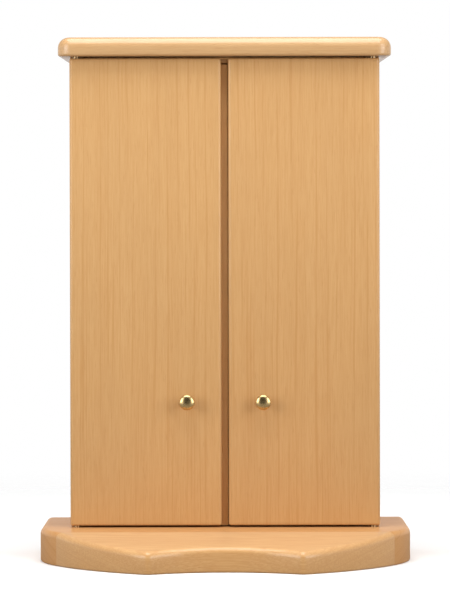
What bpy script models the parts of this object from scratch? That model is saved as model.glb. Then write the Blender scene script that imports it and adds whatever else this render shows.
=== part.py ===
"""A small tabletop altar: a shaped base, a box with two pivoting doors, and a top board.

Metres, +Z up. The doors face -Y. The origin is at the middle of the underside.
"""

import math

import bmesh
import bpy
from mathutils import Vector

# Base: two boards glued edge to edge. The front one has the bow-shaped edge.
BASE_WIDTH = 0.3118
BASE_DEPTH = 0.250
BASE_THICKNESS = 0.028
BASE_TIP_THICKNESS = 0.018
FRONT_BOARD_DEPTH = 0.081
GLUE_LINE_WIDTH = 0.280
SHOULDER_DEPTH = 0.062
TIP_SPACING = 0.125
FRONT_HOLLOW = 0.020
FLANK_BULGE = 0.0075
TIP_ROUNDING = 0.004
BASE_CORNER_ROUNDING = 0.006
BASE_TOP_ROUNDING = 0.005
BASE_BOTTOM_ROUNDING = 0.0015

# Box: side panels, back panel and the rail under the top board.
BOX_WIDTH = 0.2606
BOX_HEIGHT = 0.396
BOX_BACK_INSET = 0.005
SIDE_THICKNESS = 0.012
BACK_THICKNESS = 0.006
RAIL_HEIGHT = 0.005
RAIL_DEPTH = 0.012

# Doors, with the strip behind the left one.
DOOR_THICKNESS = 0.010
DOOR_SETBACK = 0.130
DOOR_GAP = 0.006
DOOR_BACK_CLEARANCE = 0.002
DOOR_BOTTOM_CLEARANCE = 0.0016
DOOR_TOP_CLEARANCE = 0.0016
DOOR_SIDE_ROUNDING = 0.0025
DOOR_END_ROUNDING = 0.0018
STRIP_WIDTH = 0.0126
STRIP_THICKNESS = 0.004
STRIP_SLOT = 0.0004
STRIP_BEVEL = 0.003
STRIP_END_CLEARANCE = 0.001

# Top board.
TOP_THICKNESS = 0.016
TOP_FRONT_WIDTH = 0.2809
TOP_BACK_WIDTH = 0.272
TOP_FRONT_OVERHANG = 0.010
TOP_BACK_OVERHANG = 0.005
TOP_FRONT_CORNER_ROUNDING = 0.013
TOP_BACK_CORNER_ROUNDING = 0.010
TOP_UPPER_ROUNDING = 0.009
TOP_LOWER_ROUNDING = 0.002

# Brass knobs and pivot pins.
KNOB_DIAMETER = 0.0128
KNOB_CROWN_HEIGHT = 0.0027
KNOB_BACK_HEIGHT = 0.0026
KNOB_NECK_DIAMETER = 0.005
KNOB_FOOT_DIAMETER = 0.008
KNOB_FOOT_HEIGHT = 0.001
KNOB_FLARE_HEIGHT = 0.002
KNOB_PROJECTION = 0.0125
KNOB_SPACING = 0.064
KNOB_HEIGHT = 0.1335
PIN_DIAMETER = 0.005
PIN_EDGE_DISTANCE = 0.0055
PIN_DEPTH_IN_DOOR = 0.012
PIN_DEPTH_IN_BOARD = 0.008
PIN_CLEARANCE = 0.0003

# Gap that is left between pieces that touch, and the fineness of round stretches.
JOINT_GAP = 0.0003
LONG_ARC_STEPS = 20
SHORT_ARC_STEPS = 10
LARGE_ROUNDING_STEPS = 5
SMALL_ROUNDING_STEPS = 2
PIN_SIDES = 24
KNOB_SIDES = 40
KNOB_ARC_STEPS = 9

# Places worked out from the sizes above.
BASE_FRONT_Y = -BASE_DEPTH / 2
BASE_BACK_Y = BASE_DEPTH / 2
GLUE_LINE_Y = BASE_FRONT_Y + FRONT_BOARD_DEPTH
DOOR_FRONT_Y = BASE_FRONT_Y + DOOR_SETBACK
DOOR_BACK_Y = DOOR_FRONT_Y + DOOR_THICKNESS
DOOR_MIDDLE_Y = (DOOR_FRONT_Y + DOOR_BACK_Y) / 2
BOX_FRONT_Y = DOOR_BACK_Y + DOOR_BACK_CLEARANCE
BOX_BACK_Y = BASE_BACK_Y - BOX_BACK_INSET
BOX_TOP_Z = BASE_THICKNESS + BOX_HEIGHT
BOX_INNER_WIDTH = BOX_WIDTH - 2 * SIDE_THICKNESS
DOOR_WIDTH = (BOX_WIDTH - DOOR_GAP) / 2
DOOR_BOTTOM_Z = BASE_THICKNESS + DOOR_BOTTOM_CLEARANCE
DOOR_TOP_Z = BOX_TOP_Z - DOOR_TOP_CLEARANCE
RAIL_BOTTOM_Z = BOX_TOP_Z - JOINT_GAP - RAIL_HEIGHT
HINGE_X = BOX_WIDTH / 2 - PIN_EDGE_DISTANCE

SIDES = {"left": -1, "right": 1}
WOOD_COLOUR = (0.62, 0.36, 0.15, 1.0)
LIGHT_WOOD_COLOUR = (0.70, 0.44, 0.20, 1.0)
BRASS_COLOUR = (0.62, 0.38, 0.10, 1.0)


def clear_scene():
    """Take every object out of the open file."""
    for thing in list(bpy.data.objects):
        bpy.data.objects.remove(thing, do_unlink=True)


def make_collection(name):
    """A new collection under the scene's own."""
    collection = bpy.data.collections.new(name)
    bpy.context.scene.collection.children.link(collection)
    return collection


def make_material(name, colour, roughness, metallic):
    """A plain surface of one colour."""
    material = bpy.data.materials.new(name)
    material.use_nodes = True
    surface = material.node_tree.nodes["Principled BSDF"]
    surface.inputs["Base Color"].default_value = colour
    surface.inputs["Roughness"].default_value = roughness
    surface.inputs["Metallic"].default_value = metallic
    return material


def add_object(name, solid, collection, material, place=(0, 0, 0)):
    """Turn a bmesh into a named object at a place."""
    mesh = bpy.data.meshes.new(name)
    bmesh.ops.recalc_face_normals(solid, faces=solid.faces)
    solid.to_mesh(mesh)
    solid.free()
    mesh.materials.append(material)
    mesh.shade_smooth()
    mesh.set_sharp_from_angle(angle=math.radians(35))
    thing = bpy.data.objects.new(name, mesh)
    thing.location = place
    collection.objects.link(thing)
    return thing


def box_solid(width, depth, height):
    """A box about its own middle."""
    solid = bmesh.new()
    bmesh.ops.create_cube(solid, size=1)
    bmesh.ops.scale(solid, vec=(width, depth, height), verts=solid.verts)
    return solid


def arc_points(start, end, bulge, steps):
    """Points on the arc from start to end, end left out, that swells to the right of the way."""
    chord = end - start
    middle = (start + end) / 2
    along = chord.normalized()
    right = Vector((along.y, -along.x))
    half_turn = 2 * math.atan(2 * bulge / chord.length)
    radius = chord.length / (2 * math.sin(half_turn))
    points = []
    for step in range(steps):
        turn = half_turn * (2 * step / steps - 1)
        forward = radius * math.sin(turn)
        outward = radius * (math.cos(turn) - math.cos(half_turn))
        points.append(middle + along * forward + right * outward)
    return points


def mirrored(points):
    """The same points on the other side of X = 0, in reverse order."""
    return [Vector((-point.x, point.y)) for point in reversed(points)]


def plate_solid(outline, thickness):
    """A flat plate with the given outline, standing on Z = 0, its two faces in one piece each."""
    curve = bpy.data.curves.new("outline", "CURVE")
    curve.dimensions = "2D"
    curve.fill_mode = "BOTH"
    curve.extrude = thickness / 2
    spline = curve.splines.new("POLY")
    spline.points.add(len(outline) - 1)
    for spline_point, place in zip(spline.points, outline):
        spline_point.co = (place.x, place.y, 0, 1)
    spline.use_cyclic_u = True
    holder = bpy.data.objects.new("outline", curve)
    bpy.context.scene.collection.objects.link(holder)
    bpy.context.view_layer.update()
    graph = bpy.context.evaluated_depsgraph_get()
    mesh = bpy.data.meshes.new_from_object(holder.evaluated_get(graph))
    solid = bmesh.new()
    solid.from_mesh(mesh)
    bpy.data.meshes.remove(mesh)
    bpy.data.objects.remove(holder, do_unlink=True)
    bpy.data.curves.remove(curve)
    bmesh.ops.remove_doubles(solid, verts=solid.verts, dist=0.00001)
    bmesh.ops.dissolve_limit(
        solid,
        angle_limit=math.radians(0.1),
        verts=[],
        edges=solid.edges,
    )
    bmesh.ops.translate(solid, vec=(0, 0, thickness / 2), verts=solid.verts)
    bmesh.ops.recalc_face_normals(solid, faces=solid.faces)
    return solid


def round_edges(solid, edges, radius, steps):
    """Round over some edges of a solid."""
    bmesh.ops.bevel(
        solid,
        geom=edges,
        offset=radius,
        offset_type="OFFSET",
        segments=steps,
        profile=0.5,
        affect="EDGES",
        clamp_overlap=True,
    )


def upright_edges(solid):
    """The edges that run straight up."""
    return [
        edge
        for edge in solid.edges
        if abs((edge.verts[0].co - edge.verts[1].co).normalized().z) > 0.999
    ]


def edge_middle(edge):
    """The point halfway along an edge."""
    return (edge.verts[0].co + edge.verts[1].co) / 2


def rim_edges(solid, upward, joint_y=None):
    """The edges round the top or bottom face, without those that lie in the joint's plane."""
    face = max(solid.faces, key=lambda each: upward * each.normal.z * each.calc_area())
    rim = []
    for edge in face.edges:
        in_joint = joint_y is not None and all(
            abs(vert.co.y - joint_y) < JOINT_GAP / 3 for vert in edge.verts
        )
        if not in_joint:
            rim.append(edge)
    return rim


def round_board(solid, upper, lower, joint_y=None):
    """Round a board's upper and lower rims."""
    round_edges(solid, rim_edges(solid, 1, joint_y), upper, LARGE_ROUNDING_STEPS)
    round_edges(solid, rim_edges(solid, -1, joint_y), lower, SMALL_ROUNDING_STEPS)


def round_corners(solid, places, radius, steps):
    """Round the upright edges of a plate that stand at the given corners."""
    corners = [
        edge
        for edge in upright_edges(solid)
        if any((edge.verts[0].co.xy - place).length < JOINT_GAP for place in places)
    ]
    round_edges(solid, corners, radius, steps)


def shoulder_bulge(start, end):
    """How far an arc swells that ends at a tangent to the base's straight side."""
    chord = end - start
    half_turn = math.atan2(abs(chord.x), abs(chord.y))
    return chord.length / 2 * math.tan(half_turn / 2)


def build_base_rear_board(collection, material):
    """The rear board: straight back and sides, and the shoulders that lead to the glue line."""
    front_y = GLUE_LINE_Y + JOINT_GAP
    back_corner = Vector((BASE_WIDTH / 2, BASE_BACK_Y))
    side_start = Vector((BASE_WIDTH / 2, GLUE_LINE_Y + SHOULDER_DEPTH))
    shoulder = Vector((GLUE_LINE_WIDTH / 2, front_y))
    bulge = shoulder_bulge(shoulder, side_start)
    right_half = arc_points(shoulder, side_start, bulge, SHORT_ARC_STEPS)
    right_half += [side_start, back_corner]
    solid = plate_solid(right_half + mirrored(right_half), BASE_THICKNESS)
    corners = [back_corner] + mirrored([back_corner])
    round_corners(solid, corners, BASE_CORNER_ROUNDING, SMALL_ROUNDING_STEPS)
    round_board(solid, BASE_TOP_ROUNDING, BASE_BOTTOM_ROUNDING, front_y)
    return add_object("base_rear_board", solid, collection, material)


def tip_cut():
    """How much the rounding of a front tip takes off the base's depth."""
    chord = Vector(((GLUE_LINE_WIDTH - TIP_SPACING) / 2, FRONT_BOARD_DEPTH))
    flank_rise = math.atan2(chord.y, chord.x) - 2 * math.atan(2 * FLANK_BULGE / chord.length)
    hollow_rise = 2 * math.atan(2 * FRONT_HOLLOW / TIP_SPACING)
    half_corner = (math.pi - flank_rise - hollow_rise) / 2
    return TIP_ROUNDING * (1 - math.sin(half_corner)) / math.cos(half_corner)


def build_base_front_board(collection, material):
    """The front board: bowed flanks, a hollow front edge and a top that falls to the front."""
    tip = Vector((TIP_SPACING / 2, BASE_FRONT_Y - tip_cut()))
    shoulder = Vector((GLUE_LINE_WIDTH / 2, GLUE_LINE_Y))
    other_tip = Vector((-tip.x, tip.y))
    flank = arc_points(tip, shoulder, FLANK_BULGE, SHORT_ARC_STEPS) + [shoulder]
    hollow = arc_points(other_tip, tip, -FRONT_HOLLOW, LONG_ARC_STEPS)[1:]
    solid = plate_solid(hollow + flank + mirrored(flank), BASE_THICKNESS)
    round_corners(solid, [tip, other_tip], TIP_ROUNDING, SMALL_ROUNDING_STEPS)

    fall = Vector((0, FRONT_BOARD_DEPTH, BASE_THICKNESS - BASE_TIP_THICKNESS))
    cut = bmesh.ops.bisect_plane(
        solid,
        geom=solid.verts[:] + solid.edges[:] + solid.faces[:],
        dist=0.000001,
        plane_co=(0, GLUE_LINE_Y, BASE_THICKNESS),
        plane_no=Vector((1, 0, 0)).cross(fall),
        clear_outer=True,
    )
    rim = [item for item in cut["geom_cut"] if isinstance(item, bmesh.types.BMEdge)]
    bmesh.ops.edgeloop_fill(solid, edges=rim)
    bmesh.ops.recalc_face_normals(solid, faces=solid.faces)
    round_board(solid, BASE_TOP_ROUNDING, BASE_BOTTOM_ROUNDING, GLUE_LINE_Y)
    return add_object("base_front_board", solid, collection, material)


def build_top_board(collection, material):
    """The top board: narrower at the back, with a full round along its upper edge."""
    front_corner = Vector((TOP_FRONT_WIDTH / 2, DOOR_FRONT_Y - TOP_FRONT_OVERHANG))
    back_corner = Vector((TOP_BACK_WIDTH / 2, BOX_BACK_Y + TOP_BACK_OVERHANG))
    right_half = [front_corner, back_corner]
    solid = plate_solid(right_half + mirrored(right_half), TOP_THICKNESS)
    front_corners = [front_corner] + mirrored([front_corner])
    back_corners = [back_corner] + mirrored([back_corner])
    round_corners(solid, front_corners, TOP_FRONT_CORNER_ROUNDING, LARGE_ROUNDING_STEPS)
    round_corners(solid, back_corners, TOP_BACK_CORNER_ROUNDING, SMALL_ROUNDING_STEPS)
    round_board(solid, TOP_UPPER_ROUNDING, TOP_LOWER_ROUNDING)
    return add_object("top_board", solid, collection, material, (0, 0, BOX_TOP_Z))


def build_box_panels(collection, material):
    """The side panels, the back panel between them and the rail above the doorway."""
    panel_height = BOX_HEIGHT - 2 * JOINT_GAP
    panel_z = BASE_THICKNESS + BOX_HEIGHT / 2
    side_depth = BOX_BACK_Y - BOX_FRONT_Y
    side_y = (BOX_FRONT_Y + BOX_BACK_Y) / 2
    inner_width = BOX_INNER_WIDTH - 2 * JOINT_GAP
    for name, side in SIDES.items():
        place = (side * (BOX_WIDTH - SIDE_THICKNESS) / 2, side_y, panel_z)
        panel = box_solid(SIDE_THICKNESS, side_depth, panel_height)
        add_object(f"{name}_side_panel", panel, collection, material, place)

    back_place = (0, BOX_BACK_Y - BACK_THICKNESS / 2, panel_z)
    back = box_solid(inner_width, BACK_THICKNESS, panel_height)
    add_object("back_panel", back, collection, material, back_place)

    rail_place = (0, BOX_FRONT_Y + RAIL_DEPTH / 2, RAIL_BOTTOM_Z + RAIL_HEIGHT / 2)
    rail = box_solid(inner_width, RAIL_DEPTH, RAIL_HEIGHT)
    add_object("door_stop_rail", rail, collection, material, rail_place)


def add_hinge(name, side, collection):
    """An empty on a door's pivot axis, level with the door's lower end."""
    hinge = bpy.data.objects.new(f"{name}_door_hinge", None)
    hinge.location = (side * HINGE_X, DOOR_MIDDLE_Y, DOOR_BOTTOM_Z)
    hinge.empty_display_size = 0.02
    collection.objects.link(hinge)
    return hinge


def build_door(name, side, hinge, collection, material):
    """One door, from its outer edge to half the gap from the middle."""
    height = DOOR_TOP_Z - DOOR_BOTTOM_Z
    solid = box_solid(DOOR_WIDTH, DOOR_THICKNESS, height)
    round_edges(solid, upright_edges(solid), DOOR_SIDE_ROUNDING, LARGE_ROUNDING_STEPS)
    round_edges(solid, rim_edges(solid, 1), DOOR_END_ROUNDING, SMALL_ROUNDING_STEPS)
    round_edges(solid, rim_edges(solid, -1), DOOR_END_ROUNDING, SMALL_ROUNDING_STEPS)
    middle_x = side * (DOOR_GAP + DOOR_WIDTH) / 2
    door = add_object(f"{name}_door", solid, collection, material)
    door.parent = hinge
    door.location = (middle_x - side * HINGE_X, 0, height / 2)
    return door


def build_meeting_strip(hinge, collection, material):
    """The strip behind the left door's meeting edge. It stops short of the right door.

    A bevel along its back lets it swing past that door.
    """
    bottom_z = BASE_THICKNESS + STRIP_END_CLEARANCE
    top_z = RAIL_BOTTOM_Z - STRIP_END_CLEARANCE
    right_x = DOOR_GAP / 2 - STRIP_SLOT
    solid = box_solid(STRIP_WIDTH, STRIP_THICKNESS, top_z - bottom_z)
    bevelled = [edge for edge in upright_edges(solid) if min(edge_middle(edge).xy) > 0]
    round_edges(solid, bevelled, STRIP_BEVEL, 1)
    strip = add_object("meeting_strip", solid, collection, material)
    strip.parent = hinge
    strip.location = (
        right_x - STRIP_WIDTH / 2 + HINGE_X,
        DOOR_BACK_Y + JOINT_GAP + STRIP_THICKNESS / 2 - DOOR_MIDDLE_Y,
        (bottom_z + top_z) / 2 - DOOR_BOTTOM_Z,
    )
    return strip


def quarter_oval(centre, width, height, start_turn):
    """Points on a quarter of an oval, taken clockwise from start_turn, its last point left out."""
    points = []
    for step in range(KNOB_ARC_STEPS):
        turn = start_turn + math.pi / 2 * step / KNOB_ARC_STEPS
        points.append((centre[0] + width * math.sin(turn), centre[1] + height * math.cos(turn)))
    return points


def knob_profile():
    """The knob's half section, from the crown down its outer side to the door."""
    head = KNOB_DIAMETER / 2
    neck = KNOB_NECK_DIAMETER / 2
    foot = KNOB_FOOT_DIAMETER / 2
    rim_z = KNOB_PROJECTION - KNOB_CROWN_HEIGHT
    back_z = rim_z - KNOB_BACK_HEIGHT
    points = quarter_oval((0, rim_z), head, KNOB_CROWN_HEIGHT, 0)
    points += quarter_oval((neck, rim_z), head - neck, KNOB_BACK_HEIGHT, math.pi / 2)
    points.append((neck, back_z))
    points.append((neck, KNOB_FOOT_HEIGHT + KNOB_FLARE_HEIGHT))
    points.append((foot, KNOB_FOOT_HEIGHT))
    points.append((foot, JOINT_GAP))
    points.append((0, JOINT_GAP))
    return points


def build_knob(name, side, hinge, collection, material):
    """A turned mushroom knob: a low crown on a neck that flares out to a foot."""
    mesh = bpy.data.meshes.new(f"{name}_knob")
    points = [(x, 0, z) for x, z in knob_profile()]
    links = [(index, index + 1) for index in range(len(points) - 1)]
    mesh.from_pydata(points, links, [])
    mesh.materials.append(material)
    knob = bpy.data.objects.new(f"{name}_knob", mesh)
    collection.objects.link(knob)
    screw = knob.modifiers.new("Turned", "SCREW")
    screw.axis = "Z"
    screw.steps = KNOB_SIDES
    screw.render_steps = KNOB_SIDES
    screw.use_merge_vertices = True
    screw.merge_threshold = 0.00001
    screw.use_smooth_shade = True
    knob.parent = hinge
    knob.rotation_euler = (math.radians(90), 0, 0)
    knob.location = (
        side * (KNOB_SPACING / 2 - HINGE_X),
        DOOR_FRONT_Y - DOOR_MIDDLE_Y,
        KNOB_HEIGHT - DOOR_BOTTOM_Z,
    )
    return knob


def cylinder_solid(diameter, length):
    """A cylinder about its own middle, along Z."""
    solid = bmesh.new()
    bmesh.ops.create_cone(
        solid,
        cap_ends=True,
        segments=PIN_SIDES,
        radius1=diameter / 2,
        radius2=diameter / 2,
        depth=length,
    )
    return solid


def cut_hole(thing, cutter):
    """Cut a cutter's shape out of an object."""
    hole = thing.modifiers.new("Pin hole", "BOOLEAN")
    hole.operation = "DIFFERENCE"
    hole.solver = "EXACT"
    hole.object = cutter


def build_pin(name, side, end, door, board, collection, cutters, material):
    """One pivot pin, half in the door and half in the board, in a hole that clears it."""
    upward = 1 if end == "top" else -1
    door_end_z = DOOR_TOP_Z if end == "top" else DOOR_BOTTOM_Z
    board_face_z = BOX_TOP_Z if end == "top" else BASE_THICKNESS
    in_door_z = door_end_z - upward * PIN_DEPTH_IN_DOOR
    in_board_z = board_face_z + upward * PIN_DEPTH_IN_BOARD
    length = abs(in_board_z - in_door_z)
    place = (side * HINGE_X, DOOR_MIDDLE_Y, (in_door_z + in_board_z) / 2)
    pin_name = f"{name}_door_{end}_pin"
    pin = cylinder_solid(PIN_DIAMETER, length)
    add_object(pin_name, pin, collection, material, place)

    hole_diameter = PIN_DIAMETER + 2 * PIN_CLEARANCE
    hole_length = length + 2 * PIN_CLEARANCE
    hole = cylinder_solid(hole_diameter, hole_length)
    cutter = add_object(f"{pin_name}_cutter", hole, cutters, material, place)
    cutter.hide_render = True
    cutter.display_type = "WIRE"
    cut_hole(door, cutter)
    cut_hole(board, cutter)


def build_altar():
    """Build every piece of the altar."""
    clear_scene()
    altar = make_collection("Wooden altar")
    cutters = make_collection("Cutters")
    wood = make_material("wood", WOOD_COLOUR, 0.35, 0.0)
    light_wood = make_material("light_wood", LIGHT_WOOD_COLOUR, 0.35, 0.0)
    brass = make_material("brass", BRASS_COLOUR, 0.18, 1.0)

    rear_board = build_base_rear_board(altar, wood)
    build_base_front_board(altar, light_wood)
    build_box_panels(altar, wood)
    top_board = build_top_board(altar, light_wood)
    for name, side in SIDES.items():
        hinge = add_hinge(name, side, altar)
        door = build_door(name, side, hinge, altar, wood)
        build_knob(name, side, hinge, altar, brass)
        if name == "left":
            build_meeting_strip(hinge, altar, wood)
        build_pin(name, side, "top", door, top_board, altar, cutters, brass)
        build_pin(name, side, "bottom", door, rear_board, altar, cutters, brass)


build_altar()
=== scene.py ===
"""Dresses the wooden altar: fine boards with rounded edges, wood grain, brass, floor, light and camera.

Metres, +Z up. The doors face -Y.
"""

import math

import bmesh
import bpy
from mathutils import Matrix, Vector


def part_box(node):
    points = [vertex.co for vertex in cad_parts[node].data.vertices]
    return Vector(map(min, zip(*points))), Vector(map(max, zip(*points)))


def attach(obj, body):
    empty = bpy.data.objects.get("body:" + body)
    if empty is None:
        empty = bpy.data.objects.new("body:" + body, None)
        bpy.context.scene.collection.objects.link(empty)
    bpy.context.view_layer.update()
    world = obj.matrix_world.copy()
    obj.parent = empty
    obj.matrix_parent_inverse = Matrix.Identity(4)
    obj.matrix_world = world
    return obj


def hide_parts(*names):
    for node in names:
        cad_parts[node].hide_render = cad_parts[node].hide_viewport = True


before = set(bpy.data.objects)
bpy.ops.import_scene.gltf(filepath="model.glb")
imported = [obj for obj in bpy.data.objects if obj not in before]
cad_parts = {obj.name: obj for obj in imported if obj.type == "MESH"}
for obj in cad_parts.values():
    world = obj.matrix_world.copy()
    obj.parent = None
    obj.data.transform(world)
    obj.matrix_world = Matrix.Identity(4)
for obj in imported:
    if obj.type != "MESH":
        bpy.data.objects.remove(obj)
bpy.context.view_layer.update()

# Camera, worked out from the photograph's perspective.
CAMERA_PLACE = Vector((0.0001, -2.950, 0.2634))
CAMERA_LENS = 210.96
CAMERA_SENSOR = 36.0
CAMERA_PITCH = math.radians(-0.855)
CAMERA_ROLL = math.radians(-0.12)
CAMERA_REACH = 100.0

# Sizes that the frame's boxes don't give.
TIP_SPACING = 0.125
FRONT_HOLLOW = 0.020
FLANK_BULGE = 0.0075
SHOULDER_DEPTH = 0.062
TIP_ROUNDING = 0.004
TIP_THICKNESS = 0.018
BASE_CORNER_ROUNDING = 0.006
BASE_TOP_ROUNDING = 0.005
BASE_BOTTOM_ROUNDING = 0.0015
TOP_FRONT_WIDTH = 0.2809
TOP_BACK_WIDTH = 0.272
TOP_FRONT_CORNER_ROUNDING = 0.013
TOP_BACK_CORNER_ROUNDING = 0.010
TOP_UPPER_ROUNDING = 0.009
TOP_LOWER_ROUNDING = 0.002
DOOR_SIDE_ROUNDING = 0.0025
DOOR_END_ROUNDING = 0.0018
PANEL_EASING = 0.0006
STRIP_EASING = 0.0003
STRIP_BEVEL = 0.003
KNOB_CROWN_HEIGHT = 0.0027
KNOB_BACK_HEIGHT = 0.0026
KNOB_NECK_RADIUS = 0.0025
KNOB_FOOT_RADIUS = 0.004
KNOB_FOOT_HEIGHT = 0.0007
KNOB_FLARE_HEIGHT = 0.002
PIN_CHAMFER = 0.0003

# Fineness of round stretches.
LONG_ARC_STEPS = 64
SHORT_ARC_STEPS = 28
ROUNDING_STEPS = 10
SMALL_ROUNDING_STEPS = 4
EASING_STEPS = 3
TURNED_SIDES = 96
KNOB_ARC_STEPS = 24
DISC_SIDES = 128
SHARP_ANGLE = math.radians(40)

# Outline points nearer to a corner than this many rounding lengths give way to its rounding.
CORNER_REACH = 1.3

# What counts as in the joint's plane, as one point and as upright.
TOLERANCE = 0.00005
MERGE_DISTANCE = 0.000001
UPRIGHT = 0.999

# The cut of wood of each board. The pith lies across and through the grain, and lines says how
# closely the fine rings follow each other.
REAR_WOOD = dict(
    colour=(0.56, 0.285, 0.102),
    grain="X",
    pith=(0.10, -0.30),
    seed=3.1,
    lines=900.0,
    ring_contrast=0.9,
    fibre_contrast=0.4,
    gloss=0.6,
    haze=0.01,
)
FRONT_WOOD = dict(
    colour=(0.610, 0.333, 0.115),
    grain="X",
    pith=(0.02, -0.28),
    seed=7.7,
    lines=1000.0,
    ring_contrast=1.5,
    fibre_contrast=0.9,
    gloss=1.5,
    haze=0.12,
)
TOP_WOOD = dict(
    colour=(0.512, 0.298, 0.122),
    grain="X",
    pith=(0.02, 0.62),
    seed=12.4,
    lines=800.0,
    ring_contrast=1.2,
    fibre_contrast=0.6,
    gloss=1.9,
    haze=0.03,
)
LEFT_DOOR_WOOD = dict(
    colour=(0.552, 0.311, 0.119),
    grain="Z",
    pith=(-0.90, 0.10),
    seed=17.9,
    lines=430.0,
    ring_contrast=0.85,
    fibre_contrast=0.5,
    gloss=1.1,
    haze=0.01,
)
RIGHT_DOOR_WOOD = dict(
    colour=(0.544, 0.303, 0.115),
    grain="Z",
    pith=(0.95, 0.08),
    seed=23.3,
    lines=430.0,
    ring_contrast=0.85,
    fibre_contrast=0.5,
    gloss=1.1,
    haze=0.01,
)
PANEL_WOOD = dict(
    colour=(0.60, 0.35, 0.15),
    grain="Z",
    pith=(0.15, 0.80),
    seed=31.6,
    lines=300.0,
    ring_contrast=0.6,
    fibre_contrast=0.4,
    gloss=0.6,
    haze=0.0,
)
# Painted light: the strip and the stop rail sit in shade behind the doors. Their wood is the doors'
# wood, made much paler so that they look lit there.
PAINTED_LIGHT_STRIP_WOOD = dict(
    colour=(0.82, 0.465, 0.185),
    grain="Z",
    pith=(0.30, 0.20),
    seed=41.2,
    lines=300.0,
    ring_contrast=0.5,
    fibre_contrast=0.4,
    gloss=0.4,
    haze=0.0,
)

# How many finer layers a noise has, and how strong they are in the finest one.
LOW_DETAIL = 1.0
MIDDLE_DETAIL = 2.0
HIGH_DETAIL = 3.0
HIGH_DETAIL_ROUGHNESS = 0.6

# The wood's figure. Scales count per metre, along, across and through the grain. Edges are the
# noise values between which a feature goes from none to full.
DRIFT_SCALES = (5.0, 9.0, 9.0)
DRIFT_LENGTH = 0.006
BROAD_RING_ALONG = 2.0
BROAD_RING_SCALE = 130.0
BROAD_RING_EDGES = (0.30, 0.70)
BROAD_RING_SHADE = 0.22
FINE_RING_ALONG = 3.0
FINE_RING_EDGES = (0.54, 0.70)
RING_FADE_EDGES = (0.32, 0.62)
RING_FADE = (0.45, 1.15)
FIBRE_SCALES = (34.0, 800.0, 800.0)
FIBRE_EDGES = (0.30, 0.70)
PORE_SCALES = (90.0, 1700.0, 1700.0)
PORE_EDGES = (0.60, 0.76)
PORE_SHADE = 0.8
BLOTCH_SCALES = (9.0, 26.0, 26.0)
BLOTCH_EDGES = (0.25, 0.75)
BLOTCH_GAINS = (0.985, 1.015)
PALE_GAINS = (1.035, 1.06, 1.10)
DARK_GAINS = (0.92, 0.86, 0.76)
DEEP_GAINS = (0.80, 0.68, 0.52)

# The wood's surface. The top board's varnish is rubbed down from RUBBED_EDGE below its upper face.
WOOD_ROUGHNESS_EDGES = (0.2, 0.8)
WOOD_ROUGHNESS = (0.54, 0.64)
RING_RELIEF = 0.4
WOOD_RELIEF_STRENGTH = 0.25
WOOD_RELIEF_HEIGHT = 0.0002
WOOD_SPECULAR = 0.30
WOOD_COAT = 0.40
WOOD_COAT_ROUGHNESS = 0.17
WOOD_HAZE_ROUGHNESS = 0.70
RUBBED_FADE = 0.0005
RUBBED_EDGE = 0.0001
RUBBED_SHINE = 0.2

# Brass: colours where it is clear and where it is hazed, and how rough both are.
KNOB_BRASS = dict(
    clear=(0.65, 0.475, 0.225),
    hazed=(0.61, 0.435, 0.195),
    haze_scale=250.0,
    roughness=(0.26, 0.30),
    relief=0.004,
)
PIN_BRASS = dict(
    clear=(0.42, 0.29, 0.16),
    hazed=(0.30, 0.20, 0.10),
    haze_scale=900.0,
    roughness=(0.25, 0.36),
    relief=0.0,
)
BRASS_HAZE_EDGES = (0.3, 0.7)
BRASS_RELIEF_HEIGHT = 0.0001

# Lights.
LIGHT_TARGET = Vector((0.0, 0.0, 0.22))
SIDE_BOX_AZIMUTH = math.radians(54.0)
SIDE_BOX_ELEVATION = math.radians(17.0)
SIDE_BOX_DISTANCE = 2.4
SIDE_BOX_SIZE = (1.3, 1.7)
SIDE_BOX_RADIANCE = 4.2
TOP_BOX_PLACE = Vector((0.0, -0.25, 1.75))
TOP_BOX_SIZE = (1.5, 1.58)
TOP_BOX_RADIANCE = 4.9

# Floor, the grey disc just under it, the dark card and the surround.
FLOOR_COLOUR = (0.93, 0.93, 0.93)
FLOOR_RADIUS = 1.2
FLOOR_FADE_START = 0.35
FLOOR_ROUGHNESS = 0.9
FLOOR_SPECULAR = 0.1
SHADE_COLOUR = (0.68, 0.67, 0.66)
SHADE_RADIUS = 3.0
SHADE_DEPTH = 0.002
CARD_COLOUR = (0.02, 0.018, 0.015)
CARD_DISTANCE = 0.7
CARD_THICKNESS = 0.01
CARD_HALF_WIDTH = 0.38
CARD_FOOT = 0.002
CARD_HEIGHT = 0.85
SURROUND_WHITE = 1.0
SURROUND_DIM = 0.25
SURROUND_WHITE_TO = 0.12
SURROUND_DIM_FROM = 0.35


def arc_points(start, end, bulge, steps):
    """Points on the arc from start to end, end left out, that swells to the right of the way."""
    chord = end - start
    middle = (start + end) / 2
    along = chord.normalized()
    right = Vector((along.y, -along.x))
    half_turn = 2 * math.atan(2 * bulge / chord.length)
    radius = chord.length / (2 * math.sin(half_turn))
    points = []
    for step in range(steps):
        turn = half_turn * (2 * step / steps - 1)
        forward = radius * math.sin(turn)
        outward = radius * (math.cos(turn) - math.cos(half_turn))
        points.append(middle + along * forward + right * outward)
    return points


def mirrored(points):
    """The same points on the other side of X = 0, in reverse order."""
    return [Vector((-point.x, point.y)) for point in reversed(points)]


def soft_corner(before, corner, after, length, steps):
    """An outline's corner with points before and after it, rounded from a length away on each side."""
    reach = CORNER_REACH * length
    kept_before = [point for point in before if (point - corner).length > reach]
    kept_after = [point for point in after if (point - corner).length > reach]
    start = corner + (kept_before[-1] - corner).normalized() * length
    end = corner + (kept_after[0] - corner).normalized() * length
    weight = math.sin((start - corner).angle(end - corner) / 2)
    rounding = []
    for step in range(steps + 1):
        share = step / steps
        parts = ((1 - share) ** 2, 2 * weight * share * (1 - share), share ** 2)
        whole = start * parts[0] + corner * parts[1] + end * parts[2]
        rounding.append(whole / sum(parts))
    return kept_before + rounding + kept_after


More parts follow.
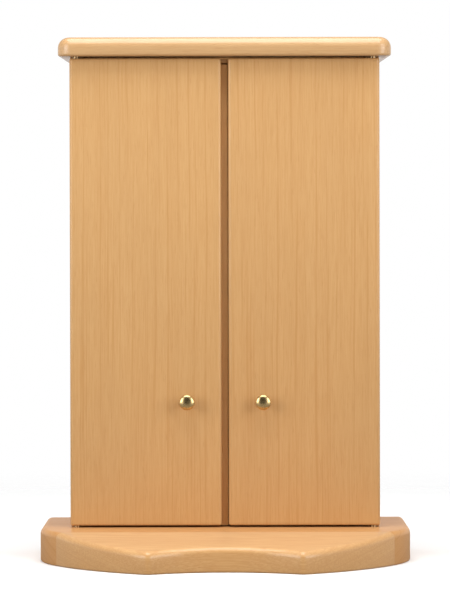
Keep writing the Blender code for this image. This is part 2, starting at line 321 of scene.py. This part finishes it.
def plate_solid(outline, low_z, high_z):
    """A flat plate with the given outline, its two faces in one piece each."""
    solid = bmesh.new()
    ring = [solid.verts.new((point.x, point.y, low_z)) for point in outline]
    face = solid.faces.new(ring)
    raised = bmesh.ops.extrude_face_region(solid, geom=[face])
    moved = [item for item in raised["geom"] if isinstance(item, bmesh.types.BMVert)]
    bmesh.ops.translate(solid, vec=(0, 0, high_z - low_z), verts=moved)
    bmesh.ops.recalc_face_normals(solid, faces=solid.faces)
    return solid


def block_solid(low, high):
    """A box between two corners."""
    solid = bmesh.new()
    bmesh.ops.create_cube(solid, size=1)
    bmesh.ops.scale(solid, vec=high - low, verts=solid.verts)
    bmesh.ops.translate(solid, vec=(low + high) / 2, verts=solid.verts)
    return solid


def round_edges(solid, edges, radius, steps):
    """Round over some edges of a solid."""
    bmesh.ops.bevel(
        solid,
        geom=edges,
        offset=radius,
        offset_type="OFFSET",
        segments=steps,
        profile=0.5,
        affect="EDGES",
        clamp_overlap=False,
    )


def upright_edges(solid):
    """The edges that run straight up."""
    return [
        edge
        for edge in solid.edges
        if abs((edge.verts[0].co - edge.verts[1].co).normalized().z) > UPRIGHT
    ]


def rim_edges(solid, upward, joint_y=None):
    """The edges round the top or bottom face, without those that lie in the joint's plane."""
    face = max(solid.faces, key=lambda each: upward * each.normal.z * each.calc_area())
    rim = []
    for edge in face.edges:
        in_joint = joint_y is not None and all(
            abs(vert.co.y - joint_y) < TOLERANCE for vert in edge.verts
        )
        if not in_joint:
            rim.append(edge)
    return rim


def round_board(solid, upper, lower, joint_y=None):
    """Round a board's upper and lower rims."""
    round_edges(solid, rim_edges(solid, 1, joint_y), upper, ROUNDING_STEPS)
    round_edges(solid, rim_edges(solid, -1, joint_y), lower, SMALL_ROUNDING_STEPS)


def add_object(name, solid, material):
    """Turn a bmesh into an object of the scene."""
    mesh = bpy.data.meshes.new(name)
    solid.to_mesh(mesh)
    solid.free()
    mesh.materials.append(material)
    added = bpy.data.objects.new(name, mesh)
    bpy.context.scene.collection.objects.link(added)
    return added


def add_piece(name, solid, material, body, node):
    """Turn a bmesh into a piece that stands for a node of the frame."""
    bmesh.ops.recalc_face_normals(solid, faces=solid.faces)
    piece = add_object(name, solid, material)
    piece.data.shade_smooth()
    piece.data.set_sharp_from_angle(angle=SHARP_ANGLE)
    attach(piece, body)
    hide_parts(node)


class Tree:
    """A small helper that adds and links the nodes of one material."""

    def __init__(self, name):
        self.material = bpy.data.materials.new(name)
        self.material.use_nodes = True
        self.nodes = self.material.node_tree.nodes
        self.links = self.material.node_tree.links
        self.surface = self.nodes["Principled BSDF"]

    def join(self, source, socket):
        """Link an output to a socket, or set the socket to a number."""
        if isinstance(source, bpy.types.NodeSocket):
            self.links.new(source, socket)
        else:
            socket.default_value = source

    def math(self, operation, first, second=0.0, third=0.0):
        """One step of arithmetic."""
        node = self.nodes.new("ShaderNodeMath")
        node.operation = operation
        for socket, source in zip(node.inputs, (first, second, third)):
            self.join(source, socket)
        return node.outputs[0]

    def combine(self, x, y, z):
        """A vector from three numbers."""
        node = self.nodes.new("ShaderNodeCombineXYZ")
        for socket, source in zip(node.inputs, (x, y, z)):
            self.join(source, socket)
        return node.outputs[0]

    def noise(self, vector, detail, roughness=0.5):
        """Noise between 0 and 1 at a vector that is already scaled."""
        node = self.nodes.new("ShaderNodeTexNoise")
        node.inputs["Scale"].default_value = 1.0
        node.inputs["Detail"].default_value = detail
        node.inputs["Roughness"].default_value = roughness
        self.join(vector, node.inputs["Vector"])
        return node.outputs[0]

    def spread(self, value, low, high, to_low=0.0, to_high=1.0):
        """Stretch a range of values to another, held at its ends."""
        node = self.nodes.new("ShaderNodeMapRange")
        node.interpolation_type = "SMOOTHSTEP"
        for socket, source in zip(node.inputs, (value, low, high, to_low, to_high)):
            self.join(source, socket)
        return node.outputs[0]

    def mix(self, factor, first, second, blend="MIX"):
        """Mix two colours."""
        node = self.nodes.new("ShaderNodeMix")
        node.data_type = "RGBA"
        node.blend_type = blend
        self.join(factor, node.inputs["Factor"])
        self.join(first, node.inputs["A"])
        self.join(second, node.inputs["B"])
        return node.outputs["Result"]

    def bump(self, height, strength, distance):
        """A surface normal that is raised by a height."""
        node = self.nodes.new("ShaderNodeBump")
        node.inputs["Strength"].default_value = strength
        node.inputs["Distance"].default_value = distance
        self.join(height, node.inputs["Height"])
        return node.outputs[0]


def grain_frame(tree, grain):
    """Object coordinates as along, across and through the grain."""
    place = tree.nodes.new("ShaderNodeTexCoord").outputs["Object"]
    parts = tree.nodes.new("ShaderNodeSeparateXYZ")
    tree.links.new(place, parts.inputs[0])
    x, y, z = parts.outputs
    if grain == "X":
        return x, y, z
    return z, x, y


def stretched_noise(tree, place, scales, seed, detail, roughness=0.5):
    """Noise whose scales along, across and through the grain differ."""
    along, across, through = place
    scaled = tree.combine(
        tree.math("MULTIPLY_ADD", along, scales[0], seed),
        tree.math("MULTIPLY", across, scales[1]),
        tree.math("MULTIPLY", through, scales[2]),
    )
    return tree.noise(scaled, detail, roughness)


def ring_noise(tree, along, along_scale, ring_place, ring_scale, seed, detail):
    """Noise that runs in layers round the pith."""
    scaled = tree.combine(
        tree.math("MULTIPLY", along, along_scale),
        tree.math("MULTIPLY_ADD", ring_place, ring_scale, seed),
        0.0,
    )
    return tree.noise(scaled, detail)


def squared_distance(tree, place, centre):
    """The square of how far a coordinate is from a value."""
    return tree.math("POWER", tree.math("ABSOLUTE", tree.math("SUBTRACT", place, centre)), 2.0)


def tinted(colour, gains):
    """A colour with its channels scaled, and full opacity."""
    return (*(min(1.0, channel * gain) for channel, gain in zip(colour, gains)), 1.0)


def wood_material(
    name, colour, grain, pith, seed, lines, ring_contrast, fibre_contrast, gloss, haze, rubbed_from=None
):
    """Varnished wood that is solid all through: rings round a pith, fibres and pores along the grain.

    gloss scales the varnish's shine, haze is the dusty bloom seen at low angles.
    rubbed_from is the place through the board from which the varnish is rubbed down.
    """
    tree = Tree(name)
    place = grain_frame(tree, grain)
    along, across, through = place

    drift = stretched_noise(tree, place, DRIFT_SCALES, seed, MIDDLE_DETAIL)
    from_pith = tree.math(
        "SQRT",
        tree.math(
            "ADD",
            squared_distance(tree, across, pith[0]),
            squared_distance(tree, through, pith[1]),
        ),
    )
    ring_place = tree.math("MULTIPLY_ADD", drift, DRIFT_LENGTH, from_pith)
    broad_rings = ring_noise(
        tree, along, BROAD_RING_ALONG, ring_place, BROAD_RING_SCALE, seed, LOW_DETAIL
    )
    fine_rings = ring_noise(tree, along, FINE_RING_ALONG, ring_place, lines, seed, MIDDLE_DETAIL)
    fibres = stretched_noise(tree, place, FIBRE_SCALES, seed, HIGH_DETAIL, HIGH_DETAIL_ROUGHNESS)
    pores = stretched_noise(tree, place, PORE_SCALES, seed, LOW_DETAIL)
    blotches = stretched_noise(tree, place, BLOTCH_SCALES, seed, MIDDLE_DETAIL)

    ring_shade = tree.math(
        "MULTIPLY_ADD",
        tree.spread(broad_rings, *BROAD_RING_EDGES),
        BROAD_RING_SHADE,
        tree.math(
            "MULTIPLY",
            tree.spread(fine_rings, *FINE_RING_EDGES),
            tree.spread(blotches, *RING_FADE_EDGES, *RING_FADE),
        ),
    )
    shade = tree.math(
        "MULTIPLY_ADD",
        ring_shade,
        ring_contrast,
        tree.math("MULTIPLY", tree.spread(fibres, *FIBRE_EDGES), fibre_contrast),
    )
    pore_shade = tree.math("MULTIPLY", tree.spread(pores, *PORE_EDGES), PORE_SHADE * fibre_contrast)
    blotch_gain = tree.spread(blotches, *BLOTCH_EDGES, *BLOTCH_GAINS)
    tone = tree.mix(shade, tinted(colour, PALE_GAINS), tinted(colour, DARK_GAINS))
    tone = tree.mix(pore_shade, tone, tinted(colour, DEEP_GAINS))
    tone = tree.mix(1.0, tone, tree.combine(blotch_gain, blotch_gain, blotch_gain), "MULTIPLY")

    specular = WOOD_SPECULAR * gloss
    coat = WOOD_COAT * gloss
    if rubbed_from is not None:
        shine = tree.spread(through, rubbed_from - RUBBED_FADE, rubbed_from, 1.0, RUBBED_SHINE)
        specular = tree.math("MULTIPLY", shine, specular)
        coat = tree.math("MULTIPLY", shine, coat)

    relief = tree.math("SUBTRACT", tree.math("MULTIPLY", fine_rings, RING_RELIEF), pore_shade)
    sockets = tree.surface.inputs
    tree.join(tone, sockets["Base Color"])
    tree.join(tree.spread(fibres, *WOOD_ROUGHNESS_EDGES, *WOOD_ROUGHNESS), sockets["Roughness"])
    tree.join(tree.bump(relief, WOOD_RELIEF_STRENGTH, WOOD_RELIEF_HEIGHT), sockets["Normal"])
    tree.join(specular, sockets["Specular IOR Level"])
    tree.join(coat, sockets["Coat Weight"])
    sockets["Coat Roughness"].default_value = WOOD_COAT_ROUGHNESS
    sockets["Sheen Weight"].default_value = haze
    sockets["Sheen Roughness"].default_value = WOOD_HAZE_ROUGHNESS
    return tree.material


def brass_material(name, clear, hazed, haze_scale, roughness, relief):
    """Brass with faint hazy patches."""
    tree = Tree(name)
    place = tree.nodes.new("ShaderNodeTexCoord").outputs["Object"]
    scaled = tree.nodes.new("ShaderNodeVectorMath")
    scaled.operation = "SCALE"
    scaled.inputs["Scale"].default_value = haze_scale
    tree.links.new(place, scaled.inputs[0])
    haze = tree.noise(scaled.outputs[0], HIGH_DETAIL, HIGH_DETAIL_ROUGHNESS)
    sockets = tree.surface.inputs
    tree.join(tree.mix(haze, (*clear, 1.0), (*hazed, 1.0)), sockets["Base Color"])
    tree.join(tree.spread(haze, *BRASS_HAZE_EDGES, *roughness), sockets["Roughness"])
    if relief:
        tree.join(tree.bump(haze, relief, BRASS_RELIEF_HEIGHT), sockets["Normal"])
    sockets["Metallic"].default_value = 1.0
    return tree.material


def matte_material(tree, colour, roughness=1.0, specular=0.0):
    """Make a plain surface with little or no shine of a new tree."""
    tree.surface.inputs["Base Color"].default_value = (*colour, 1.0)
    tree.surface.inputs["Roughness"].default_value = roughness
    tree.surface.inputs["Specular IOR Level"].default_value = specular
    return tree.material


def shoulder_bulge(start, end):
    """How far an arc swells that ends at a tangent to the base's straight side."""
    chord = end - start
    half_turn = math.atan2(abs(chord.x), abs(chord.y))
    return chord.length / 2 * math.tan(half_turn / 2)


def build_base_rear_board(material):
    """The rear board: straight back and sides, and the shoulders that lead to the glue line."""
    low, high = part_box("base_rear_board")
    glue_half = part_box("base_front_board")[1].x
    glue_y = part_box("base_front_board")[1].y
    back_corner = Vector((high.x, high.y))
    side_start = Vector((high.x, glue_y + SHOULDER_DEPTH))
    shoulder = Vector((glue_half, low.y))
    bulge = shoulder_bulge(shoulder, side_start)
    side = arc_points(shoulder, side_start, bulge, SHORT_ARC_STEPS) + [side_start]
    back_middle = Vector((0, high.y))
    outline = soft_corner(side, back_corner, [back_middle], BASE_CORNER_ROUNDING, ROUNDING_STEPS)
    right_half = outline[:-1]
    solid = plate_solid(right_half + mirrored(right_half), low.z, high.z)
    round_board(solid, BASE_TOP_ROUNDING, BASE_BOTTOM_ROUNDING, low.y)
    add_piece("rear_base_board", solid, material, "cabinet", "base_rear_board")


def build_base_front_board(material):
    """The front board: bowed flanks, a hollow front edge and a top that falls to the front."""
    low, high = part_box("base_front_board")
    tip = Vector((TIP_SPACING / 2, low.y))
    shoulder = Vector((high.x, high.y))
    other_tip = Vector((-tip.x, tip.y))
    flank = arc_points(tip, shoulder, FLANK_BULGE, SHORT_ARC_STEPS)[1:] + [shoulder]
    hollow = arc_points(other_tip, tip, -FRONT_HOLLOW, LONG_ARC_STEPS)
    half_hollow = hollow[LONG_ARC_STEPS // 2:]
    rounded = soft_corner(half_hollow, tip, flank, TIP_ROUNDING, ROUNDING_STEPS)
    # The rounded tips are drawn out again to the board's full depth.
    stretch = (high.y - low.y) / (high.y - min(point.y for point in rounded))
    right_half = [Vector((point.x, high.y + (point.y - high.y) * stretch)) for point in rounded]
    solid = plate_solid(right_half[1:] + mirrored(right_half), low.z, high.z)

    # The top is cut to its fall, from full thickness at the glue line to that of the tips.
    fall = Vector((0, high.y - low.y, high.z - TIP_THICKNESS))
    cut = bmesh.ops.bisect_plane(
        solid,
        geom=solid.verts[:] + solid.edges[:] + solid.faces[:],
        dist=MERGE_DISTANCE,
        plane_co=(0, high.y, high.z),
        plane_no=Vector((1, 0, 0)).cross(fall),
        clear_outer=True,
    )
    rim = [item for item in cut["geom_cut"] if isinstance(item, bmesh.types.BMEdge)]
    bmesh.ops.edgeloop_fill(solid, edges=rim)
    bmesh.ops.recalc_face_normals(solid, faces=solid.faces)
    round_board(solid, BASE_TOP_ROUNDING, BASE_BOTTOM_ROUNDING, high.y)
    add_piece("front_base_board", solid, material, "cabinet", "base_front_board")


def build_top_board(material):
    """The top board: narrower at the back, with a full round along its upper edge."""
    low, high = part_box("top_board")
    front_corner = Vector((TOP_FRONT_WIDTH / 2, low.y))
    back_corner = Vector((TOP_BACK_WIDTH / 2, high.y))
    front_middle = Vector((0, low.y))
    back_middle = Vector((0, high.y))
    front = soft_corner(
        [front_middle], front_corner, [back_corner], TOP_FRONT_CORNER_ROUNDING, ROUNDING_STEPS
    )
    back = soft_corner(
        [front_corner], back_corner, [back_middle], TOP_BACK_CORNER_ROUNDING, ROUNDING_STEPS
    )
    right_half = front[1:-1] + back[1:-1]
    solid = plate_solid(right_half + mirrored(right_half), low.z, high.z)
    round_board(solid, TOP_UPPER_ROUNDING, TOP_LOWER_ROUNDING)
    add_piece("top_board_wood", solid, material, "cabinet", "top_board")


def build_panel(node, name, body, material):
    """A flat panel with all its edges lightly eased."""
    solid = block_solid(*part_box(node))
    round_edges(solid, solid.edges[:], PANEL_EASING, EASING_STEPS)
    add_piece(name, solid, material, body, node)


def build_door(side, material):
    """One door with rounded edges."""
    node = f"{side}_door"
    solid = block_solid(*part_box(node))
    round_edges(solid, upright_edges(solid), DOOR_SIDE_ROUNDING, ROUNDING_STEPS)
    round_edges(solid, rim_edges(solid, 1), DOOR_END_ROUNDING, SMALL_ROUNDING_STEPS)
    round_edges(solid, rim_edges(solid, -1), DOOR_END_ROUNDING, SMALL_ROUNDING_STEPS)
    add_piece(f"{side}_door_leaf", solid, material, f"{side}_door_body", node)


def build_strip(material):
    """The strip behind the left door's meeting edge, bevelled along its back."""
    solid = block_solid(*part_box("meeting_strip"))
    middle = sum((vert.co for vert in solid.verts), Vector()) / len(solid.verts)
    bevelled = [
        edge
        for edge in upright_edges(solid)
        if all(min((vert.co - middle).xy) > 0 for vert in edge.verts)
    ]
    round_edges(solid, bevelled, STRIP_BEVEL, 1)
    round_edges(solid, solid.edges[:], STRIP_EASING, EASING_STEPS)
    add_piece("meeting_strip_wood", solid, material, "left_door_body", "meeting_strip")


def quarter_oval(centre, width, height, start_turn):
    """Points on a quarter of an oval, taken clockwise from start_turn, its last point left out."""
    points = []
    for step in range(KNOB_ARC_STEPS):
        turn = start_turn + math.pi / 2 * step / KNOB_ARC_STEPS
        points.append((centre[0] + width * math.sin(turn), centre[1] + height * math.cos(turn)))
    return points


def turned_solid(profile):
    """A solid turned from a half section of (radius, height), crown first, about +Z."""
    solid = bmesh.new()
    verts = [solid.verts.new((radius, 0, height)) for radius, height in profile]
    edges = [solid.edges.new(pair) for pair in zip(verts, verts[1:])]
    bmesh.ops.spin(
        solid,
        geom=verts + edges,
        cent=(0, 0, 0),
        axis=(0, 0, 1),
        angle=2 * math.pi,
        steps=TURNED_SIDES,
        use_merge=True,
    )
    bmesh.ops.remove_doubles(solid, verts=solid.verts, dist=MERGE_DISTANCE)
    return solid


def build_knob(side, material):
    """A turned mushroom knob: a low crown on a neck that flares out to a foot."""
    node = f"{side}_knob"
    low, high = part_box(node)
    head = (high.x - low.x) / 2
    projection = high.y - low.y
    rim_z = projection - KNOB_CROWN_HEIGHT
    back_z = rim_z - KNOB_BACK_HEIGHT
    profile = quarter_oval((0, rim_z), head, KNOB_CROWN_HEIGHT, 0)
    neck_centre = (KNOB_NECK_RADIUS, rim_z)
    profile += quarter_oval(neck_centre, head - KNOB_NECK_RADIUS, KNOB_BACK_HEIGHT, math.pi / 2)
    profile.append((KNOB_NECK_RADIUS, back_z))
    profile.append((KNOB_NECK_RADIUS, KNOB_FOOT_HEIGHT + KNOB_FLARE_HEIGHT))
    profile.append((KNOB_FOOT_RADIUS, KNOB_FOOT_HEIGHT))
    profile.append((KNOB_FOOT_RADIUS, 0))
    profile.append((0, 0))
    solid = turned_solid(profile)
    place = Matrix.Translation(((low.x + high.x) / 2, high.y, (low.z + high.z) / 2))
    turn = Matrix.Rotation(math.radians(90), 4, "X")
    bmesh.ops.transform(solid, matrix=place @ turn, verts=solid.verts)
    add_piece(f"{side}_brass_knob", solid, material, f"{side}_door_body", node)


def build_pin(side, end, material):
    """A round pivot pin with chamfered ends."""
    node = f"{side}_door_{end}_pin"
    low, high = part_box(node)
    radius = (high.x - low.x) / 2
    length = high.z - low.z
    profile = [
        (0, length),
        (radius - PIN_CHAMFER, length),
        (radius, length - PIN_CHAMFER),
        (radius, PIN_CHAMFER),
        (radius - PIN_CHAMFER, 0),
        (0, 0),
    ]
    solid = turned_solid(profile)
    centre = (low + high) / 2
    bmesh.ops.translate(solid, vec=(centre.x, centre.y, low.z), verts=solid.verts)
    add_piece(f"{side}_{end}_pivot", solid, material, "cabinet", node)


def build_altar():
    """Every piece of the altar, each board with its own cut of wood."""
    top_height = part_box("top_board")[1].z
    rear = wood_material("rear_board_wood", **REAR_WOOD)
    front = wood_material("front_board_wood", **FRONT_WOOD)
    top = wood_material("top_board_wood", **TOP_WOOD, rubbed_from=top_height - RUBBED_EDGE)
    left = wood_material("left_door_wood", **LEFT_DOOR_WOOD)
    right = wood_material("right_door_wood", **RIGHT_DOOR_WOOD)
    panels = wood_material("panel_wood", **PANEL_WOOD)
    # The strip and stop rail's wood is painted paler than the doors' wood, as painted light in their
    # shade.
    painted_light_strip = wood_material("painted_light_strip_wood", **PAINTED_LIGHT_STRIP_WOOD)
    brass = brass_material("polished_brass", **KNOB_BRASS)
    dull_brass = brass_material("dull_brass", **PIN_BRASS)

    build_base_rear_board(rear)
    build_base_front_board(front)
    build_top_board(top)
    build_panel("left_side_panel", "left_box_side", "cabinet", panels)
    build_panel("right_side_panel", "right_box_side", "cabinet", panels)
    build_panel("back_panel", "box_back", "cabinet", panels)
    build_panel("door_stop_rail", "stop_rail", "cabinet", painted_light_strip)
    build_strip(painted_light_strip)
    build_door("left", left)
    build_door("right", right)
    for side in ("left", "right"):
        build_knob(side, brass)
        for end in ("top", "bottom"):
            build_pin(side, end, dull_brass)


def add_camera():
    """The camera, where the photograph was taken from."""
    data = bpy.data.cameras.new("Camera")
    data.lens = CAMERA_LENS
    data.sensor_width = CAMERA_SENSOR
    data.clip_end = CAMERA_REACH
    camera = bpy.data.objects.new("Camera", data)
    pitched = Matrix.Rotation(math.radians(90) + CAMERA_PITCH, 4, "X")
    rolled = Matrix.Rotation(CAMERA_ROLL, 4, "Z")
    camera.matrix_world = Matrix.Translation(CAMERA_PLACE) @ pitched @ rolled
    bpy.context.scene.collection.objects.link(camera)
    bpy.context.scene.camera = camera


def add_softbox(name, place, size, radiance, target):
    """A flat soft light that faces a target."""
    data = bpy.data.lights.new(name, "AREA")
    data.shape = "RECTANGLE"
    data.size, data.size_y = size
    data.energy = radiance * math.pi * size[0] * size[1]
    light = bpy.data.objects.new(name, data)
    light.location = place
    light.rotation_euler = (place - target).to_track_quat("Z", "Y").to_euler()
    light.visible_camera = False
    bpy.context.scene.collection.objects.link(light)


def add_lights():
    """Two tall softboxes at the sides of the camera and a wide one overhead."""
    level = math.cos(SIDE_BOX_ELEVATION)
    for name, side in (("left_softbox", -1), ("right_softbox", 1)):
        sideways = side * math.sin(SIDE_BOX_AZIMUTH) * level
        forward = math.cos(SIDE_BOX_AZIMUTH) * level
        away = Vector((sideways, -forward, math.sin(SIDE_BOX_ELEVATION)))
        place = LIGHT_TARGET + away * SIDE_BOX_DISTANCE
        add_softbox(name, place, SIDE_BOX_SIZE, SIDE_BOX_RADIANCE, LIGHT_TARGET)
    below = Vector((TOP_BOX_PLACE.x, TOP_BOX_PLACE.y, 0.0))
    add_softbox("top_softbox", TOP_BOX_PLACE, TOP_BOX_SIZE, TOP_BOX_RADIANCE, below)


def disc_solid(radius, height):
    """A flat round face at a height."""
    solid = bmesh.new()
    bmesh.ops.create_circle(solid, cap_ends=True, segments=DISC_SIDES, radius=radius)
    bmesh.ops.translate(solid, vec=(0, 0, height), verts=solid.verts)
    return solid


def add_floor():
    """A pale disc that fades out into the white surround."""
    tree = Tree("floor")
    material = matte_material(tree, FLOOR_COLOUR, FLOOR_ROUGHNESS, FLOOR_SPECULAR)
    place = tree.nodes.new("ShaderNodeTexCoord").outputs["Object"]
    length = tree.nodes.new("ShaderNodeVectorMath")
    length.operation = "LENGTH"
    tree.links.new(place, length.inputs[0])
    fade = tree.spread(length.outputs["Value"], FLOOR_FADE_START, FLOOR_RADIUS)
    clear = tree.nodes.new("ShaderNodeBsdfTransparent")
    blend = tree.nodes.new("ShaderNodeMixShader")
    tree.links.new(fade, blend.inputs[0])
    tree.links.new(tree.surface.outputs[0], blend.inputs[1])
    tree.links.new(clear.outputs[0], blend.inputs[2])
    tree.links.new(blend.outputs[0], tree.nodes["Material Output"].inputs["Surface"])
    floor = add_object("floor", disc_solid(FLOOR_RADIUS, 0), material)
    floor.visible_diffuse = False
    floor.visible_glossy = False


def add_shade():
    """A grey disc that softens what the bright floor throws back at the wood and the brass."""
    material = matte_material(Tree("shade"), SHADE_COLOUR)
    shade = add_object("shade", disc_solid(SHADE_RADIUS, -SHADE_DEPTH), material)
    shade.visible_camera = False


def add_dark_card():
    """A black card in front of the doors that only reflections see, as a dark room would be."""
    material = matte_material(Tree("dark_card"), CARD_COLOUR)
    solid = block_solid(
        Vector((-CARD_HALF_WIDTH, -CARD_DISTANCE - CARD_THICKNESS, CARD_FOOT)),
        Vector((CARD_HALF_WIDTH, -CARD_DISTANCE, CARD_HEIGHT)),
    )
    card = add_object("dark_card", solid, material)
    card.visible_camera = False
    card.visible_diffuse = False
    card.visible_shadow = False
    card.visible_transmission = False


def add_surround():
    """A plain surround: white from below up to just over the horizon, dim above."""
    world = bpy.data.worlds.new("Surround")
    world.use_nodes = True
    nodes = world.node_tree.nodes
    links = world.node_tree.links
    place = nodes.new("ShaderNodeTexCoord").outputs["Generated"]
    parts = nodes.new("ShaderNodeSeparateXYZ")
    links.new(place, parts.inputs[0])
    ramp = nodes.new("ShaderNodeMapRange")
    ramp.interpolation_type = "SMOOTHSTEP"
    links.new(parts.outputs["Z"], ramp.inputs["Value"])
    ramp.inputs["From Min"].default_value = SURROUND_WHITE_TO
    ramp.inputs["From Max"].default_value = SURROUND_DIM_FROM
    ramp.inputs["To Min"].default_value = SURROUND_WHITE
    ramp.inputs["To Max"].default_value = SURROUND_DIM
    background = nodes["Background"]
    links.new(ramp.outputs[0], background.inputs["Strength"])
    background.inputs["Color"].default_value = (1.0, 1.0, 1.0, 1.0)
    bpy.context.scene.world = world


def build_scene():
    """The altar on its floor, lit and seen as in the photograph."""
    add_camera()
    build_altar()
    add_floor()
    add_shade()
    add_dark_card()
    add_surround()
    add_lights()
    bpy.context.scene.view_settings.view_transform = "Standard"
    bpy.context.scene.view_settings.look = "None"


build_scene()
